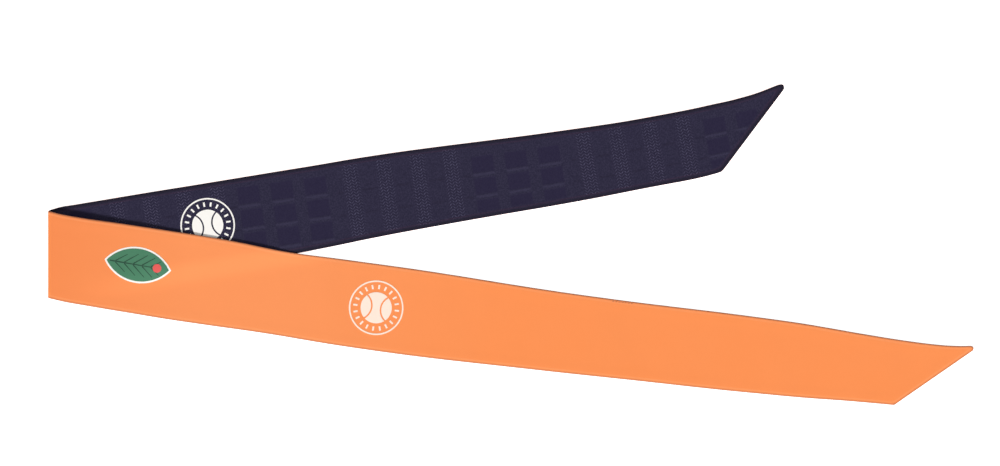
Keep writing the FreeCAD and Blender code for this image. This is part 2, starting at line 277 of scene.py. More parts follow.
def rounded(flat):
    """Points in plan, with the corners of the slanted ends turned round."""
    flat = flat.copy()
    for (corner, first, second), radius in CORNERS:
        half_angle = math.acos(float(np.clip(first @ second, -1, 1))) / 2
        inward = unit(first + second)
        centre = corner + inward * radius / math.sin(half_angle)
        out = flat[..., :2] - centre
        ahead = -(out @ inward)
        side = np.abs(out[..., 0] * inward[1] - out[..., 1] * inward[0])
        turn = math.pi / 2 - half_angle
        angle = np.arctan2(side, ahead)
        sharp = radius / np.cos(np.clip(turn - angle, 0, turn))
        inside = (angle < turn) & (ahead > 0) & (np.hypot(side, ahead) < CORNER_REACH * sharp)
        squeeze = np.where(inside, radius / sharp, 1.0)
        flat[..., :2] = centre + out * squeeze[..., None]
    return flat


# ------------------------------------------------------------------ small shapes of the cloth


def ripple(x, seed, wavelengths, phase_across=0.0):
    """A sum of sines along x, the same each run, from about -1 to 1."""
    rng = np.random.default_rng(seed)
    total = np.zeros_like(np.asarray(x, float))
    for wavelength in wavelengths:
        shift, weight = rng.uniform(0, 2 * math.pi), rng.uniform(0.6, 1.0)
        total = total + weight * np.sin(2 * math.pi * x / wavelength + shift + phase_across)
    return total / (0.8 * len(wavelengths)) ** 0.5 / 1.6


# waves of the lying cloth: heights, wavelengths along the strip, and where they begin
LONG_WAVES, LONG_WAVE_HEIGHT = (163.0, 97.0, 61.0), 0.5
SHORT_WAVES, SHORT_WAVE_HEIGHT = (38.0, 27.0), 0.12
WAVES_START, WAVES_GROW = 12, 60
# the near leg comes down off the fold over a length of it, and steps off the far leg's edge:
# the step reaches the floor a little outside that edge
DROP_START, DROP_LENGTH = 8.0, 75.0
FAR_LEG_HALF = 28.0
STEP_OUTSIDE, STEP_LENGTH = 9.0, 17.0


def lift(q, y, flat):
    """How far the lying cloth stands above its plane, in millimetres upwards."""
    leg_run = np.abs(q) - QUARTER_FOLD
    away = smooth((leg_run - WAVES_START) / WAVES_GROW)
    long_wave = 0.5 + 0.5 * ripple(q, 11, LONG_WAVES, 0.02 * y)
    short_wave = 0.5 + 0.5 * ripple(q + 0.5 * y, 12, SHORT_WAVES)
    waves = away * (LONG_WAVE_HEIGHT * long_wave + SHORT_WAVE_HEIGHT * short_wave)
    far = LEGS["far"]
    middle, heading, _, _ = far.place(np.maximum(flat[..., 0] - far.line[0, 0], 0))
    aside = (flat[..., 1] - middle[..., 1]) * np.cos(heading)
    covered = smooth((aside + FAR_LEG_HALF + STEP_OUTSIDE) / STEP_LENGTH)
    lying = LYING_HEIGHT + covered * (ON_FAR_LEG - LYING_HEIGHT)
    drop = smooth((leg_run - DROP_START) / DROP_LENGTH)
    drape = np.where(q > QUARTER_FOLD, drop * (lying - plane_height(leg_run)), 0.0)
    return waves + drape


def plane_height(s):
    """Height of the near leg's middle line, before it is draped."""
    near = LEGS["near"]
    return np.interp(s, near.at, near.line[:, 2])


PUCKER_HEIGHT, PUCKER_REACH = 0.085, 4.5
PUCKERS = (5.3, 7.7, 9.1, 12.7)
HEM_STEP = 3.2              # over which the doubled seam allowance ends
LOFT = 1.15                 # of a cloth's face, in thicknesses of the cloth
LINED_STEP = 2.0            # over which a cloth's inner face leaves the plane beside its edge


def pucker(q, edge, seed):
    """Small gathers that the seam pulls into the cloth beside it."""
    return PUCKER_HEIGHT * np.exp(-edge / PUCKER_REACH) * ripple(q, seed, PUCKERS)


def profile(edge, ply):
    """Heights of a cloth's outer and inner faces over the plane where the cloths meet.

    The turned-in seam allowance doubles the cloth beside its edge, and the edge itself is rolled.
    """
    round_edge = ROLL * ply
    roll = np.sqrt(np.clip(1 - (1 - np.clip(edge / round_edge, 0, 1)) ** 2, 0, 1))
    doubled = 1 - smooth((edge - SEAM_ALLOWANCE + HEM_STEP / 2) / HEM_STEP)
    outside = roll * ply * (LOFT + PRESSED_RIDGE * doubled)
    lined = np.clip((edge - round_edge) / LINED_STEP, 0, 1) * (1 - doubled)
    inside = np.minimum(0.12 * outside, 0.05)
    inside = inside + lined * np.maximum(outside - ply - inside, 0)
    return outside, inside


# how far the inner cloth's edge rolls past the seam on each leg, and its unevenness
OVERHANG = {"near": 0.05, "far": 0.13}
OVERHANG_WAVES = (71.0, 43.0, 19.0)


def overhang(ply, q):
    """How far the inner cloth's edge rolls past the seam at the short and at the long edge, where
    it shows as a fine line beside the outer cloth."""
    if ply == "outer":
        return np.zeros_like(q), np.zeros_like(q)
    near = smooth((q + 3) / 6)
    uneven = 1 + 0.6 * ripple(q, 31, OVERHANG_WAVES)
    on_near, on_far = OVERHANG["near"] * near, OVERHANG["far"] * (1 - near)
    return on_near + on_far, on_near * uneven + on_far


# each cloth: which way it faces, its thickness, and the seed of its gathers
PLIES = {"outer": (1, OUTER_PLY, 21), "inner": (-1, INNER_PLY, 22)}


def edge_distance(point, y, low, high, side):
    """Distance in plan to the nearest edge, the slanted end included."""
    leg = LEGS[side]
    outward = leg.end_direction[::-1] * [1, -1]
    to_end = (leg.end_point[:2] - point[..., :2]) @ outward
    to_side = np.minimum(high - y, y - low)
    near = np.clip(0.5 + 0.5 * (to_end - to_side) / EDGE_EASE, 0, 1)
    return np.maximum(to_end + (to_side - to_end) * near - EDGE_EASE * near * (1 - near), 0)


def on_strip(q, y):
    """Places of rows q and columns y on the plane where the cloths meet, the direction out of the
    outer cloth, and each point's own distance along, distance across and distance to an edge."""
    middle, across, normal, low, high, lead = strip_frame(q)
    scale = np.sqrt(1 + lead**2)
    flat = middle[:, None] + across[:, None] * (y * scale[:, None])[..., None]
    run = q[:, None] + np.sign(q)[:, None] * lead[:, None] * y
    low = np.minimum(low[:, None], y.min(1, keepdims=True))
    high = np.maximum(high[:, None], y.max(1, keepdims=True))
    edge = np.where(q[:, None] >= 0, edge_distance(flat, y, low, high, "near"),
                    edge_distance(flat, y, low, high, "far"))
    rise = lift(run, y, flat)
    flat = rounded(flat)
    flat[..., 2] += rise
    return flat, normal[:, None], vectors(run, y, edge)


def cloth_points(ply, q):
    """Points of a cloth's outside and inside for rows at q, and what its material reads."""
    sign, thickness, seed = PLIES[ply]
    _, _, _, low, high, _ = strip_frame(q)
    short_extra, long_extra = overhang(ply, q)
    flat, normal, where = on_strip(q, columns(low - short_extra, high + long_extra))
    run, edge = where[..., 0], where[..., 2]
    outside, inside = profile(edge, thickness)
    rim = np.zeros(edge.shape, bool)
    rim[:, [0, -1]] = True
    rim[np.isin(q, list(END_Q.values()))] = True
    outside = np.where(rim, outside, np.maximum(outside, inside + LEAST_GAP))
    gather = pucker(run, edge, seed) * np.clip(edge, 0, 1)
    shells = [flat + normal * (sign * (height + gather))[..., None] for height in (outside, inside)]
    return shells, where


# distances from an edge where the cloth's shape changes quickly
EDGE_STEPS = np.array([0, 0.05, 0.16, 0.34, 0.6, 1.1, 2.0, 3.2, 4.4, 5.4, 6.0, 6.6, 7.2, 8.0, 9.4])
MIDDLE_COLUMNS = 19
ROW_STEP = 2.0
TURN_ROWS, BESIDE_TURN_ROWS = 25, 8
WELD = 2e-6                 # points nearer than this, in metres, are one point


def columns(low, high):
    """Distances across for every row: fine steps beside the edges, even ones between."""
    low, high = low[:, None], high[:, None]
    inner = np.linspace(0, 1, MIDDLE_COLUMNS + 2)[1:-1]
    left, right = low + EDGE_STEPS, high - EDGE_STEPS[::-1]
    between = left[:, -1:] + (right[:, :1] - left[:, -1:]) * inner
    return np.concatenate([left, between, right], axis=1)


def rows(start, end):
    """Distances along the strip for a piece, finer round the fold and at a slanted end."""
    if start < 0 < end:
        arc = np.linspace(-QUARTER_FOLD, QUARTER_FOLD, TURN_ROWS)
        far = np.linspace(start, -QUARTER_FOLD, BESIDE_TURN_ROWS)[:-1]
        near = np.linspace(QUARTER_FOLD, end, BESIDE_TURN_ROWS)[1:]
        return np.concatenate([far, arc, near])
    count = max(2, round((end - start) / ROW_STEP) + 1)
    ends = np.linspace(start, end, count)
    side = "near" if end > 0 else "far"
    if abs(END_Q[side]) - max(abs(start), abs(end)) < 1e-6:
        leg = LEGS[side]
        _, heading, _, row = leg.place(np.array([leg.length]))
        stretch = 1 / abs(math.cos(float(heading[0] - row[0])))
        fine = abs(END_Q[side]) - EDGE_STEPS[::-1] * stretch
        body = np.abs(ends)
        body = body[body < fine[0] - ROW_STEP / 2]
        ends = np.sort(np.concatenate([body, fine]))
        ends = ends if side == "near" else -ends[::-1]
    return ends


# ------------------------------------------------------------------ meshes


def add_object(name, data):
    thing = bpy.data.objects.new(name, data)
    bpy.context.scene.collection.objects.link(thing)
    return thing


def add_mesh(name, points, faces, material, attribute=None, smooth_shade=True):
    mesh = bpy.data.meshes.new(name)
    mesh.from_pydata([tuple(p) for p in np.asarray(points) * MM], [], faces)
    mesh.update()
    if attribute is not None:
        layer = mesh.attributes.new("strip", "FLOAT_VECTOR", "POINT")
        layer.data.foreach_set("vector", np.asarray(attribute, np.float32).ravel())
    mesh.polygons.foreach_set("use_smooth", [smooth_shade] * len(mesh.polygons))
    mesh.materials.append(material)
    return add_object(name, mesh)


def grid_faces(row_count, column_count, offset=0, flip=False):
    i, j = np.meshgrid(np.arange(row_count - 1), np.arange(column_count - 1), indexing="ij")
    a = offset + i * column_count + j
    quads = np.stack([a, a + 1, a + column_count + 1, a + column_count], axis=-1).reshape(-1, 4)
    return (quads[:, ::-1] if flip else quads).tolist()


def shell(name, outer, inner, attribute, material, flip):
    """A closed thin body from two grids, joined at their edges and capped at their ends."""
    row_count, column_count = outer.shape[:2]
    count = row_count * column_count
    points = np.concatenate([outer.reshape(-1, 3), inner.reshape(-1, 3)])
    faces = grid_faces(row_count, column_count, 0, flip)
    faces += grid_faces(row_count, column_count, count, not flip)
    first_cap = len(faces)
    for row, turned in ((0, flip), (row_count - 1, not flip)):
        for j in range(column_count - 1):
            a, b = row * column_count + j, row * column_count + j + 1
            face = [a, a + count, b + count, b]
            faces.append(face[::-1] if turned else face)
    values = np.concatenate([attribute.reshape(-1, 3)] * 2)
    obj = add_mesh(name, points, faces, material, values)
    weld = bmesh.new()
    weld.from_mesh(obj.data)
    weld.faces.ensure_lookup_table()
    for face in weld.faces[first_cap:]:
        face.smooth = False
        for edge in face.edges:
            edge.smooth = False
    bmesh.ops.remove_doubles(weld, verts=weld.verts, dist=WELD)
    weld.to_mesh(obj.data)
    weld.free()
    return obj


def cloth_piece(name, ply, start, end, material):
    q = rows(start, end)
    (outer, inner), attribute = cloth_points(ply, q)
    return shell(name, outer, inner, attribute, material, flip=ply == "outer")


def tube(path, radius, sides=6):
    """A round thread along a path."""
    path = np.asarray(path)
    tangent = unit(np.gradient(path, axis=0))
    side = unit(np.cross(tangent, [0.13, 0.21, 0.97]))
    other = np.cross(tangent, side)
    turn = np.linspace(0, 2 * math.pi, sides, endpoint=False)
    ring = side[:, None] * np.cos(turn)[:, None] + other[:, None] * np.sin(turn)[:, None]
    points = (path[:, None] + radius * ring).reshape(-1, 3)
    faces = []
    for i in range(len(path) - 1):
        for j in range(sides):
            a, b = i * sides + j, i * sides + (j + 1) % sides
            faces.append([a, b, b + sides, a + sides])
    faces.append(list(range(sides))[::-1])
    faces.append([(len(path) - 1) * sides + j for j in range(sides)])
    return points, faces


def tubes(name, paths, radius, material):
    """One mesh of a thread along several paths."""
    points, faces = [], []
    for path in paths:
        new_points, new_faces = tube(path, radius)
        shift = sum(len(p) for p in points)
        points.append(new_points)
        faces += [[v + shift for v in face] for face in new_faces]
    return add_mesh(name, np.concatenate(points), faces, material)


# ------------------------------------------------------------------ materials


class Nodes:
    """A few words for building a node material."""

    def __init__(self, name, **settings):
        self.material = bpy.data.materials.new(name)
        self.material.use_nodes = True
        self.tree = self.material.node_tree
        self.shader = self.tree.nodes["Principled BSDF"]
        for socket, number in settings.items():
            self.shader.inputs[socket.replace("_", " ")].default_value = number

    def add(self, kind, **properties):
        node = self.tree.nodes.new(kind)
        for key, setting in properties.items():
            setattr(node, key, setting)
        return node

    def put(self, source, socket):
        if isinstance(source, bpy.types.NodeSocket):
            self.tree.links.new(source, socket)
        else:
            socket.default_value = source

    def math(self, operation, *values, clamp=False):
        node = self.add("ShaderNodeMath", operation=operation, use_clamp=clamp)
        for socket, number in zip(node.inputs, values):
            self.put(number, socket)
        return node.outputs[0]

    def line(self, number, factor, plus):
        return self.math("MULTIPLY_ADD", number, factor, plus)

    def minus(self, first, second, clamp=False):
        return self.math("SUBTRACT", first, second, clamp=clamp)

    def remainder(self, number, length):
        return self.math("FLOORED_MODULO", number, length)

    def times(self, first, *others):
        result = first
        for number in others:
            result = self.math("MULTIPLY", result, number)
        return result

    def strip(self):
        """Distance along the strip, distance across, and distance from the edge."""
        node = self.add("ShaderNodeAttribute", attribute_name="strip")
        split = self.add("ShaderNodeSeparateXYZ")
        self.put(node.outputs["Vector"], split.inputs[0])
        return (*split.outputs, node.outputs["Vector"])

    def position(self):
        """Place on the object, in millimetres."""
        node = self.add("ShaderNodeTexCoord")
        scale = self.add("ShaderNodeVectorMath", operation="SCALE")
        self.put(node.outputs["Object"], scale.inputs[0])
        scale.inputs["Scale"].default_value = 1 / MM
        return scale.outputs[0]

    def noise(self, vector, scale, detail=2.0, roughness=0.5, stretch=None):
        if stretch is not None:
            node = self.add("ShaderNodeVectorMath", operation="MULTIPLY")
            self.put(vector, node.inputs[0])
            node.inputs[1].default_value = stretch
            vector = node.outputs[0]
        node = self.add("ShaderNodeTexNoise")
        self.put(vector, node.inputs["Vector"])
        node.inputs["Scale"].default_value = scale
        node.inputs["Detail"].default_value = detail
        node.inputs["Roughness"].default_value = roughness
        return node.outputs["Fac"]

    def mix(self, factor, first, second):
        node = self.add("ShaderNodeMix", data_type="RGBA")
        self.put(factor, node.inputs[0])
        self.put(first, node.inputs[6])
        self.put(second, node.inputs[7])
        return node.outputs[2]

    def tinted(self, base, *tints):
        """A colour with others laid over it in turn, given as (where, how much, colour)."""
        for where, amount, shade in tints:
            base = self.mix(self.times(where, amount), base, shade)
        return base

    def set(self, socket, source):
        self.put(source, self.shader.inputs[socket])

    def band(self, number, low, high, soft):
        """1 where a number lies between low and high, with soft edges."""
        rise = self.math("DIVIDE", self.minus(number, low - soft / 2), soft, clamp=True)
        fall = self.math("DIVIDE", self.minus(high + soft / 2, number), soft, clamp=True)
        return self.times(rise, fall)

    def wave(self, number, length):
        """A sine of a distance, from 0 to 1."""
        turn = self.math("SINE", self.times(number, 2 * math.pi / length))
        return self.line(turn, 0.5, 0.5)

    def total(self, *values):
        result = values[0]
        for number in values[1:]:
            result = self.math("ADD", result, number)
        return result

    def bump(self, height, distance, strength=1.0):
        node = self.add("ShaderNodeBump")
        node.inputs["Strength"].default_value = strength
        node.inputs["Distance"].default_value = distance * MM
        self.put(height, node.inputs["Height"])
        self.set("Normal", node.outputs["Normal"])


def colour(red, green, blue):
    """A colour given as it shows on a screen, 0 to 255, turned into light."""
    parts = [channel / 255 for channel in (red, green, blue)]
    return (*[c / 12.92 if c <= 0.04045 else ((c + 0.055) / 1.055) ** 2.4 for c in parts], 1.0)


def outer_cloth_material():
    """Smooth sports microfibre with a very fine rib."""
    n = Nodes("outer_cloth", Roughness=0.8, Sheen_Weight=0.05, Sheen_Roughness=0.45,
              Specular_IOR_Level=0.15)
    n.set("Sheen Tint", colour(255, 214, 180))
    along, across, edge, place = n.strip()
    cloudy = n.noise(place, 0.03, 3.0)
    fibre = n.noise(place, 1.6, 3.0, 0.6, stretch=(0.35, 1.6, 1.0))
    run = n.math("ABSOLUTE", along)
    near_fold = n.minus(1.0, n.math("DIVIDE", run, 95.0), clamp=True)
    towards_tail = n.math("DIVIDE", n.minus(run, 170.0), 130.0, clamp=True)
    base = n.mix(near_fold, colour(247, 148, 90), colour(242, 136, 77))
    base = n.mix(towards_tail, base, colour(248, 143, 80))
    n.set("Base Color", n.tinted(
        base,
        (cloudy, 0.4, colour(245, 147, 88)),
        (fibre, 0.10, colour(222, 116, 60)),
        (n.band(edge, 1.4, 2.4, 0.6), 0.3, colour(250, 166, 112)),      # along the stitches
        (n.band(edge, -1.0, 0.9, 0.7), 0.75, colour(178, 114, 82)),     # painted highlight beside the rolled edge
    ))
    rib = n.times(n.wave(across, 0.62), n.wave(along, 0.55))
    n.bump(n.total(rib, n.times(fibre, 0.8)), 0.03)
    n.set("Roughness", n.line(fibre, 0.14, 0.72))
    return n.material


JACQUARD_REPEAT = 157.2     # along the strip, in millimetres
SQUARES_START = 130.0       # distance from the fold of a block of squares
SQUARE = (14.6, 10.7)
SQUARE_PITCH = (22.4, 14.3)
SQUARES_LENGTH = 3 * SQUARE_PITCH[0]
TWILL_START = 72.5          # of the first column of twill, past the start of a block
TWILL_WIDTH = 10.5
LEAN = -0.02                # of the columns, for each millimetre across
SQUARE_INSET = (1.5, 2.4)   # of a square in its pitch
# how far the grain has left the strip's middle line, as a polynomial of the distance along
DRIFT = (12.5, -0.0404, 0.0000325)
GATHER = (0.872, 0.00038)   # how the rows' spacing follows the taper, likewise
ROWS_FROM, ROWS_TO = -2.1 * SQUARE_PITCH[1], 0.94 * SQUARE_PITCH[1]


def inner_cloth_material():
    """Dark jacquard: blocks of squares, and columns of herringbone twill between them."""
    n = Nodes("inner_cloth", Roughness=0.82, Sheen_Weight=0.04, Sheen_Roughness=0.5,
              Specular_IOR_Level=0.12)
    n.set("Sheen Tint", colour(150, 150, 190))
    along, across, edge, place = n.strip()
    run = n.math("ABSOLUTE", along)
    leaning = n.line(across, LEAN, run)
    spot = n.remainder(n.minus(leaning, SQUARES_START), JACQUARD_REPEAT)
    in_block = n.band(spot, 0.0, SQUARES_LENGTH, 0.8)
    between_blocks = n.minus(1.0, in_block)
    column = n.remainder(spot, SQUARE_PITCH[0])
    in_square = n.band(column, SQUARE_INSET[0], SQUARE_INSET[0] + SQUARE[0], 1.0)
    # the rows follow the grain, which the taper of the strip leaves slowly
    drift = n.line(run, n.line(run, DRIFT[2], DRIFT[1]), DRIFT[0])
    gathered = n.line(run, GATHER[1], GATHER[0])
    row_place = n.times(n.minus(across, drift), gathered)
    row = n.remainder(row_place, SQUARE_PITCH[1])
    woven = n.band(row_place, ROWS_FROM, ROWS_TO, 1.0)
    in_row = n.band(row, SQUARE_INSET[1], SQUARE_INSET[1] + SQUARE[1], 1.0)
    wavy = n.line(n.noise(place, 0.35, 2.0), 1.2, -0.6)
    under = n.band(n.math("ADD", row, wavy), 0.4, 1.8, 1.0)
    field = n.times(n.band(edge, 4.0, 90.0, 2.0), woven)
    block = n.times(in_block, in_square, field)
    squares = n.times(block, in_row)
    bars = n.times(block, under)
    past = n.remainder(n.minus(spot, TWILL_START), SQUARE_PITCH[0])
    in_column = n.band(past, 0.0, TWILL_WIDTH, 3.0)
    inside_hem = n.band(edge, 2.6, 90.0, 1.2)
    twill_zone = n.times(between_blocks, in_column, inside_hem)
    # the herringbone: a slant that turns back every few threads
    turned_back = n.math("PINGPONG", run, 2.0)
    slant = n.wave(n.line(turned_back, 0.9, across), 2.0)
    broken = n.wave(n.minus(run, 0.5), 2.0)
    uneven = n.line(n.noise(place, 0.5, 2.0, 0.6), 2.2, -0.4)
    dash = n.times(n.math("POWER", slant, 2.0), n.line(broken, 0.7, 0.3))
    twill = n.math("MULTIPLY", twill_zone, n.times(dash, uneven), clamp=True)
    beside = n.times(between_blocks, n.band(past, TWILL_WIDTH + 1.5, 21.0, 1.6))
    dashes = n.times(beside, under, woven)
    speckle = n.noise(place, 0.9, 2.0, 0.6, stretch=(1.4, 0.8, 1.0))
    thread = n.noise(place, 1.7, 3.0, 0.65, stretch=(1.3, 0.6, 1.0))
    cloudy = n.noise(place, 0.03, 3.0)
    ground = n.minus(1.0, n.math("MAXIMUM", twill_zone, squares), clamp=True)
    grainy = n.times(ground, n.band(speckle, 0.52, 2.0, 0.12))
    ribbed = n.band(n.noise(place, 1.0, 2.0, 0.6, stretch=(1.3, 0.35, 1.0)), 0.5, 2.0, 0.2)
    base = n.tinted(
        n.mix(n.times(cloudy, 0.6), colour(32, 29, 50), colour(37, 34, 54)),
        (squares, 0.9, colour(31, 25, 52)),
        (grainy, 0.6, colour(52, 48, 70)),
        (bars, 0.55, colour(56, 52, 76)),
        (dashes, 0.4, colour(26, 20, 38)),
        (twill_zone, 0.4, colour(25, 21, 41)),
    )
    n.set("Base Color", n.tinted(
        n.mix(twill, base, colour(84, 80, 106)),
        (ribbed, 0.12, colour(64, 60, 84)),
        (thread, 0.2, colour(56, 53, 76)),
        (n.band(edge, -1.0, 2.2, 1.6), 0.7, colour(27, 23, 34)),        # painted shade on the hem
        (n.band(edge, 2.8, 3.3, 0.8), 0.4, colour(66, 38, 54)),         # the line beside it
    ))
    n.bump(n.total(n.times(twill, 1.4), n.times(squares, -0.9), n.times(thread, 0.8),
                   n.times(bars, 0.6)), 0.06)
    n.set("Roughness", n.line(squares, -0.12, 0.86))
    return n.material


def thread_material(name, base, light):
    """Twisted sewing thread."""
    n = Nodes(name, Roughness=0.55, Sheen_Weight=0.2, Specular_IOR_Level=0.35)
    place = n.position()
    strands = n.noise(place, 3.5, 2.0, 0.6, stretch=(1.0, 2.6, 2.6))
    n.set("Base Color", n.mix(strands, base, light))
    n.bump(strands, 0.03)
    return n.material


def print_material(name, base, worn, roughness):
    """A heat-pressed film that takes some of the cloth's grain."""
    n = Nodes(name, Roughness=roughness, Specular_IOR_Level=0.4)
    place = n.position()
    grain = n.noise(place, 1.4, 3.0, 0.6)
    patches = n.noise(place, 0.22, 3.0)
    n.set("Base Color", n.mix(n.times(patches, 0.35), base, worn))
    n.set("Roughness", n.line(grain, 0.18, roughness - 0.09))
    n.bump(n.math("ADD", grain, n.times(patches, 0.5)), 0.02)
    return n.material


MATERIALS = {
    "outer": outer_cloth_material(),
    "inner": inner_cloth_material(),
    "hand_stitch": thread_material("hand_stitch", colour(150, 84, 58), colour(190, 112, 78)),
    "seam_thread": thread_material("seam_thread", colour(88, 70, 74), colour(122, 100, 98)),
}
# each print: its colour, its colour where it is worn, and its roughness
PRINTS = {
    "white": ((246, 243, 238), (236, 230, 224), 0.5),
    "cream": ((250, 230, 214), (246, 216, 196), 0.5),
    "green": ((66, 124, 92), (54, 110, 82), 0.48),
    "dark_green": ((30, 72, 54), (24, 60, 46), 0.48),
    "coral": ((226, 88, 82), (208, 74, 70), 0.48),
}
for tone, (fresh, worn, roughness) in PRINTS.items():
    MATERIALS[tone] = print_material(f"{tone}_print", colour(*fresh), colour(*worn), roughness)


# ------------------------------------------------------------------ cloth


def hinge_points(side, index):
    """Points before and after a flex line, in the row frame."""
    leg = LEGS[side]
    station = leg.stations[index]
    middle, _, _, _ = leg.place(np.array([station - BLEND_HALF, station + BLEND_HALF]))
    return [tuple(point * MM) for point in middle]


def between_flexes(side, index):
    """Distance along the strip of the middle of the length after a flex line."""
    stations = LEGS[side].stations
    middle = (stations[index] + stations[index + 1]) / 2
    return (1 if side == "near" else -1) * (QUARTER_FOLD + middle)


NEAR_START = QUARTER_FOLD + FOLD_PIECE_REACH
FAR_START = -NEAR_START


# name, where it starts and ends along the strip, its two bodies, the points that it bends
# between (None at the fold, where each part has its own), the CAD lengths that it stands for,
# and how it is held
PIECES = [
    ("fold", FAR_START, NEAR_START, ("far_side", "front"), None, ["fold"], "folded"),
    ("far_side", between_flexes("far", 1), FAR_START, ("far_side", "far_strap"),
     hinge_points("far", 1), ["far_side", "far_strap"], "laid"),
    ("far_tail", END_Q["far"], between_flexes("far", 1), ("far_strap", "far_tail"),
     hinge_points("far", 2), ["far_tail"], "laid"),
    ("front", NEAR_START, between_flexes("near", 1), ("front", "near_side"),
     hinge_points("near", 1), ["front"], "folded"),
    ("near_side", between_flexes("near", 1), between_flexes("near", 2),
     ("near_side", "near_strap"), hinge_points("near", 2), ["near_side", "near_strap"], "laid"),
    ("near_tail", between_flexes("near", 2), END_Q["near"], ("near_strap", "near_tail"),
     hinge_points("near", 3), ["near_tail"], "laid"),
]


# how far the seam along a slanted end stays from its corners
HEEL_CLEAR, TIP_CLEAR = 2.0, 6.0
POINTS_PER_STITCH = 5
END_PATH_POINTS = 160


def seam_path(q, edge):
    """The lockstitch along one long edge: it dips into the groove between the two cloths."""
    _, _, _, low, high, _ = strip_frame(q)
    y = low + THREAD_INSET if edge == "short" else high - THREAD_INSET
    flat, _, where = on_strip(q, vectors(low, y, high))
    outward = unit(flat[:, 1] - flat[:, 0 if edge == "long" else 2])
    dip = 0.5 + 0.5 * np.sin(2 * math.pi * where[:, 1, 0] / STITCH)
    return flat[:, 1] + outward * (THREAD_DIP * dip)[:, None]


def end_path(side):
    """The lockstitch along a slanted end."""
    q = np.array([END_Q[side] - math.copysign(THREAD_INSET, END_Q[side])])
    _, _, _, low, high, _ = strip_frame(q)
    y = np.linspace(low[0] + HEEL_CLEAR, high[0] - TIP_CLEAR, END_PATH_POINTS)[None]
    flat, _, _ = on_strip(q, y)
    return flat[0]


def seam_threads(name, start, end):
    count = round((end - start) / (STITCH / POINTS_PER_STITCH))
    q = np.linspace(start, end, count)
    paths = [seam_path(q, "short"), seam_path(q, "long")]
    paths += [end_path(side) for side in LEGS if END_Q[side] in (start, end)]
    return tubes(name, paths, THREAD_RADIUS, MATERIALS["seam_thread"])


def flat_area(start, end):
    """Width, length and area of the flat cut of a stretch of the strip, in metres."""
    q = np.linspace(start, end, 200)
    low, high = strip_frame(q)[3:5]
    area = (high - low).mean() * (end - start)
    return ((high - low).max() + 2 * SEAM_ALLOWANCE) * MM, (end - start) * MM, float(area) * MM**2


def build_cloth():
    for name, start, end, bodies, bend, stands_for, held in PIECES:
        for ply in PLIES:
            piece = cloth_piece(f"{ply}_cloth_{name}_piece", ply, start, end, MATERIALS[ply])
            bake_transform(piece)
            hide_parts(*[f"{ply}_cloth_{node}" for node in stands_for])
            width, length, area = flat_area(start, end)
        thread = seam_threads(f"seam_thread_{name}_piece", start, end)
        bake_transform(thread)
        nodes = [f"seam_thread_{node}" for node in stands_for if node != "fold"]
        if nodes:
            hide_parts(*nodes)


# ------------------------------------------------------------------ prints


def on_cloth(side, ply, s, y, height):
    """Points on a cloth's outer face, at distances s from the fold and y across."""
    q = (1 if side == "near" else -1) * (QUARTER_FOLD + s)
    sign, thickness, seed = PLIES[ply]
    middle, across, normal, low, high, _ = strip_frame(q)
    edge = np.minimum(high - y, y - low)
    outside = profile(edge, thickness)[0] + pucker(q, edge, seed)
    flat = middle + across * y[:, None]
    flat[:, 2] += lift(q, y, flat)
    return flat + normal * (sign * (outside + height))[:, None]


def circle(radius, x=0.0, y=0.0, count=96):
    turn = np.linspace(0, 2 * math.pi, count, endpoint=False)
    return vectors(x + radius * np.cos(turn), y + radius * np.sin(turn))


def inside_loop(points, loop):
    """Which points lie inside a closed loop."""
    x, y = points[:, 0], points[:, 1]
    inside = np.zeros(len(points), bool)
    for (x0, y0), (x1, y1) in zip(loop, np.roll(loop, -1, axis=0)):
        crosses = (y0 > y) != (y1 > y)
        with np.errstate(divide="ignore", invalid="ignore"):
            at = x0 + (y - y0) * (x1 - x0) / (y1 - y0)
        inside ^= crosses & (x < at)
    return inside


def flat_shape(*loops, step=1.6):
    """Points and triangles that fill an outline and leave out its hole, if it has one."""
    everything = np.concatenate(loops)
    low, high = everything.min(0), everything.max(0)
    gx, gy = np.meshgrid(np.arange(low[0], high[0], step), np.arange(low[1], high[1], step))
    grid = vectors(gx.ravel(), gy.ravel())
    vertices, edges = [], []
    for loop in loops:
        first = len(vertices)
        vertices += [tuple(p) for p in loop]
        edges += [(first + i, first + (i + 1) % len(loop)) for i in range(len(loop))]
    spaced = [p for p in grid if np.linalg.norm(everything - p, axis=1).min() > 0.4 * step]
    vertices += [tuple(p) for p in spaced]
    out = delaunay_2d_cdt([Vector(v) for v in vertices], edges, [], 0, 1e-6, False)
    points = np.array([tuple(v) for v in out[0]])
    faces = np.array([f for f in out[2] if len(f) == 3])
    centres = points[faces].mean(axis=1)
    keep = inside_loop(centres, loops[0])
    for hole in loops[1:]:
        keep &= ~inside_loop(centres, hole)
    used, faces = np.unique(faces[keep], return_inverse=True)
    return points[used], faces.reshape(-1, 3)


def film(name, side, ply, centre, shapes, base, material):
    """A thin printed film on a cloth. shapes are (points, triangles) about the centre."""
    points, faces = [], []
    for shape_points, shape_faces in shapes:
        faces.append(shape_faces + sum(len(p) for p in points))
        points.append(shape_points)
    flat, triangles = np.concatenate(points), np.concatenate(faces)
    x, y = (flat + centre).T
    top = on_cloth(side, ply, x, y, base + PRINT_THICKNESS)
    bottom = on_cloth(side, ply, x, y, base - PRINT_SINK)
    count = len(flat)
    a, b, c = (flat[triangles[:, k]] for k in range(3))
    turned = np.cross(b - a, c - a) < 0
    triangles[turned] = triangles[turned][:, ::-1]
    upper = triangles.tolist()
    edges = [edge for face in upper for edge in zip(face, face[1:] + face[:1])]
    known = set(edges)
    rim = [(u, v) for u, v in edges if (v, u) not in known]
    lower = [[v + count for v in face[::-1]] for face in upper]
    walls = [[v, u, u + count, v + count] for u, v in rim]
    return add_mesh(name, np.concatenate([top, bottom]), upper + lower + walls, material,
                    smooth_shade=False)


